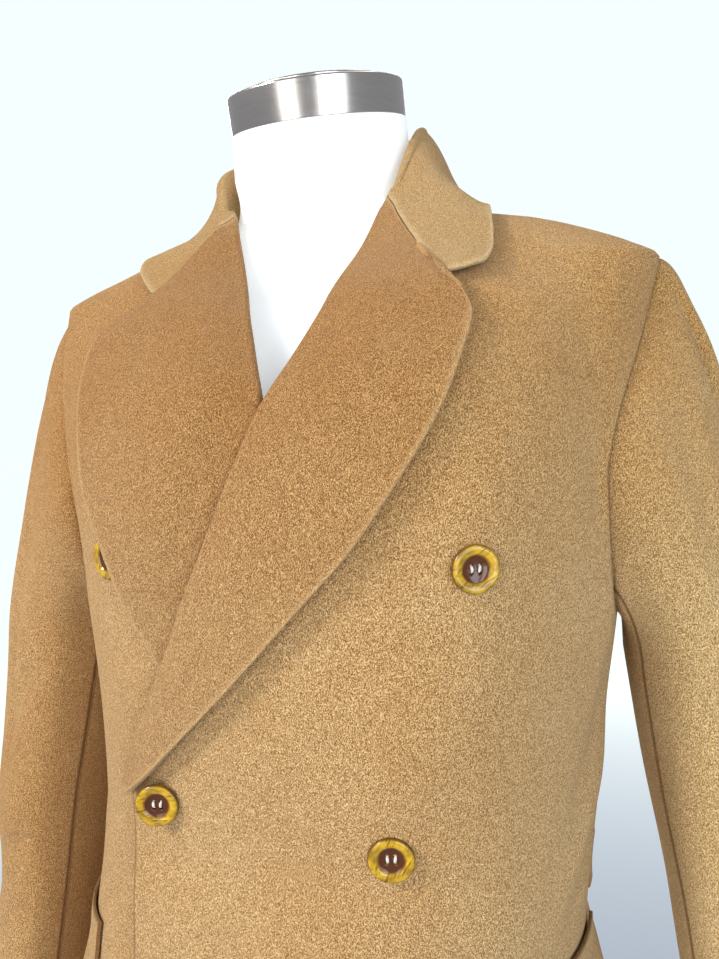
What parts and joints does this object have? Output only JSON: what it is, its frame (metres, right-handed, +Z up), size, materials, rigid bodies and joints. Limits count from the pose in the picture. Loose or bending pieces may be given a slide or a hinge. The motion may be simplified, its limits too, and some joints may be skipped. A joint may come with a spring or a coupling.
{
  "type": "double-breasted long coat on a limbless dress form",
  "caption": "Camel wool long coat with wide lapels and a turned collar, buttoned to one side, standing open-sleeved on a smooth limbless dress form with a floor stand.",
  "frame": {"origin": "centre of the flat underside of the stand's base, on the floor", "axes": "+Z up; -Y is the coat's front; +X is towards the wearer's left"},
  "size_m": [0.6378, 0.3851, 1.5696],
  "materials": {
    "cloth": "short brushed camel nap, matt",
    "buttons": "polished streaked horn",
    "form": "smooth white shell",
    "metal": "brushed steel"
  },
  "bodies": {
    "root": {"front_left": "cloth", "front_right": "cloth", "back_left": "cloth", "back_right": "cloth", "top_sleeve_left": "cloth", "top_sleeve_right": "cloth", "under_sleeve_left": "cloth", "under_sleeve_right": "cloth", "lapel_left": "cloth", "lapel_right": "cloth", "collar": "cloth", "pocket_flap_left": "cloth", "pocket_flap_right": "cloth", "half_belt": "cloth", "button_1_left": "buttons", "button_2_left": "buttons", "button_3_left": "buttons", "button_1_right": "buttons", "button_2_right": "buttons", "button_3_right": "buttons", "form_body": "form", "neck_cap": "metal", "stand_pole": "metal", "stand_base": "metal"}
  },
  "joints": []
}
